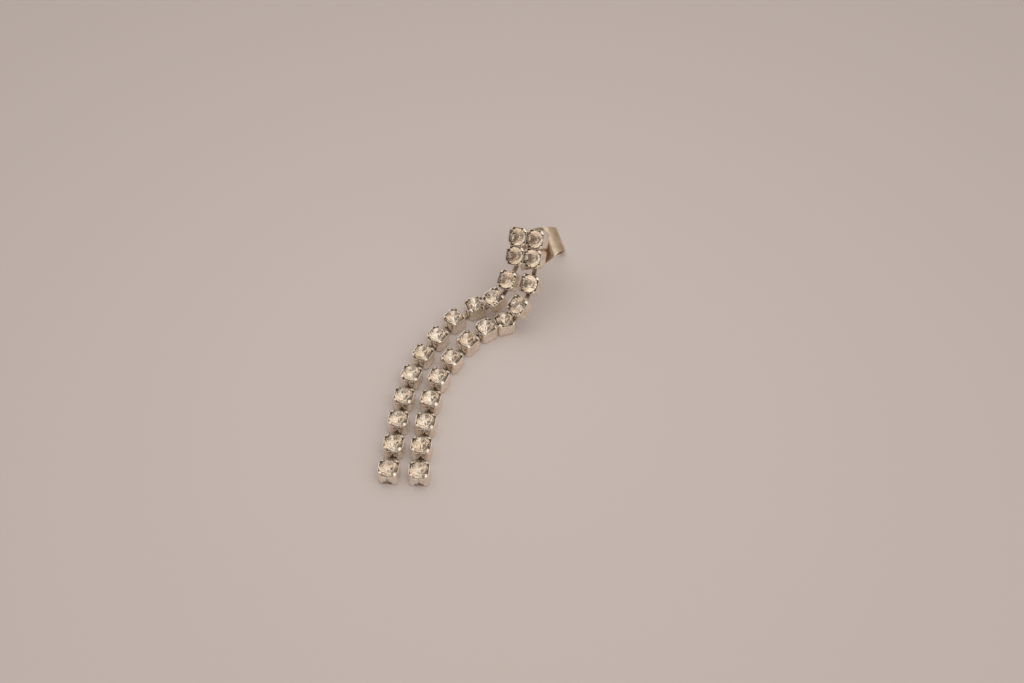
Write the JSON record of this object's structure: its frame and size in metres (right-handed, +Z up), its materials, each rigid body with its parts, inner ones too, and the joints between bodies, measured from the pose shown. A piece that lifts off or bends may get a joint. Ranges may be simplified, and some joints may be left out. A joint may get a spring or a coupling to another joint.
{
  "type": "linear drop earring",
  "caption": "Drop earring of cup chain: a square cluster of set stones on an ear post with a butterfly clutch, and two strands of square-set stones hanging from it.",
  "frame": {"origin": "on the surface that the earring lies on, under the middle of its bounding box", "axes": "+Z up from the surface, +Y from the free ends of the strands towards the cluster, +X to the right as the faces of the lying stones are read from the free ends"},
  "size_m": [0.025, 0.0416, 0.0125],
  "materials": {
    "silver": "polished silver plate over brass, slightly warm, with a little tarnish in the gaps",
    "stone": "round faceted glass stones with a mirror foil behind them, pale champagne"
  },
  "bodies": {
    "earring": {"cluster_setting": "silver", "strand_left": "silver", "strand_right": "silver", "stone_cluster_upper_left": "stone", "stone_cluster_upper_right": "stone", "stone_cluster_lower_left": "stone", "stone_cluster_lower_right": "stone", "stone_left_01": "stone", "stone_left_02": "stone", "stone_left_03": "stone", "stone_left_04": "stone", "stone_left_05": "stone", "stone_left_06": "stone", "stone_left_07": "stone", "stone_left_08": "stone", "stone_left_09": "stone", "stone_left_10": "stone", "stone_left_11": "stone", "stone_right_01": "stone", "stone_right_02": "stone", "stone_right_03": "stone", "stone_right_04": "stone", "stone_right_05": "stone", "stone_right_06": "stone", "stone_right_07": "stone", "stone_right_08": "stone", "stone_right_09": "stone", "stone_right_10": "stone", "stone_right_11": "stone"},
    "clutch": {"butterfly_clutch": "silver"}
  },
  "joints": [
    {"name": "clutch_slide", "type": "slide", "parent": "earring", "child": "clutch", "axis": [0.4208, 0.602, -0.6786], "range_m": [0, 0.0106]}
  ]
}
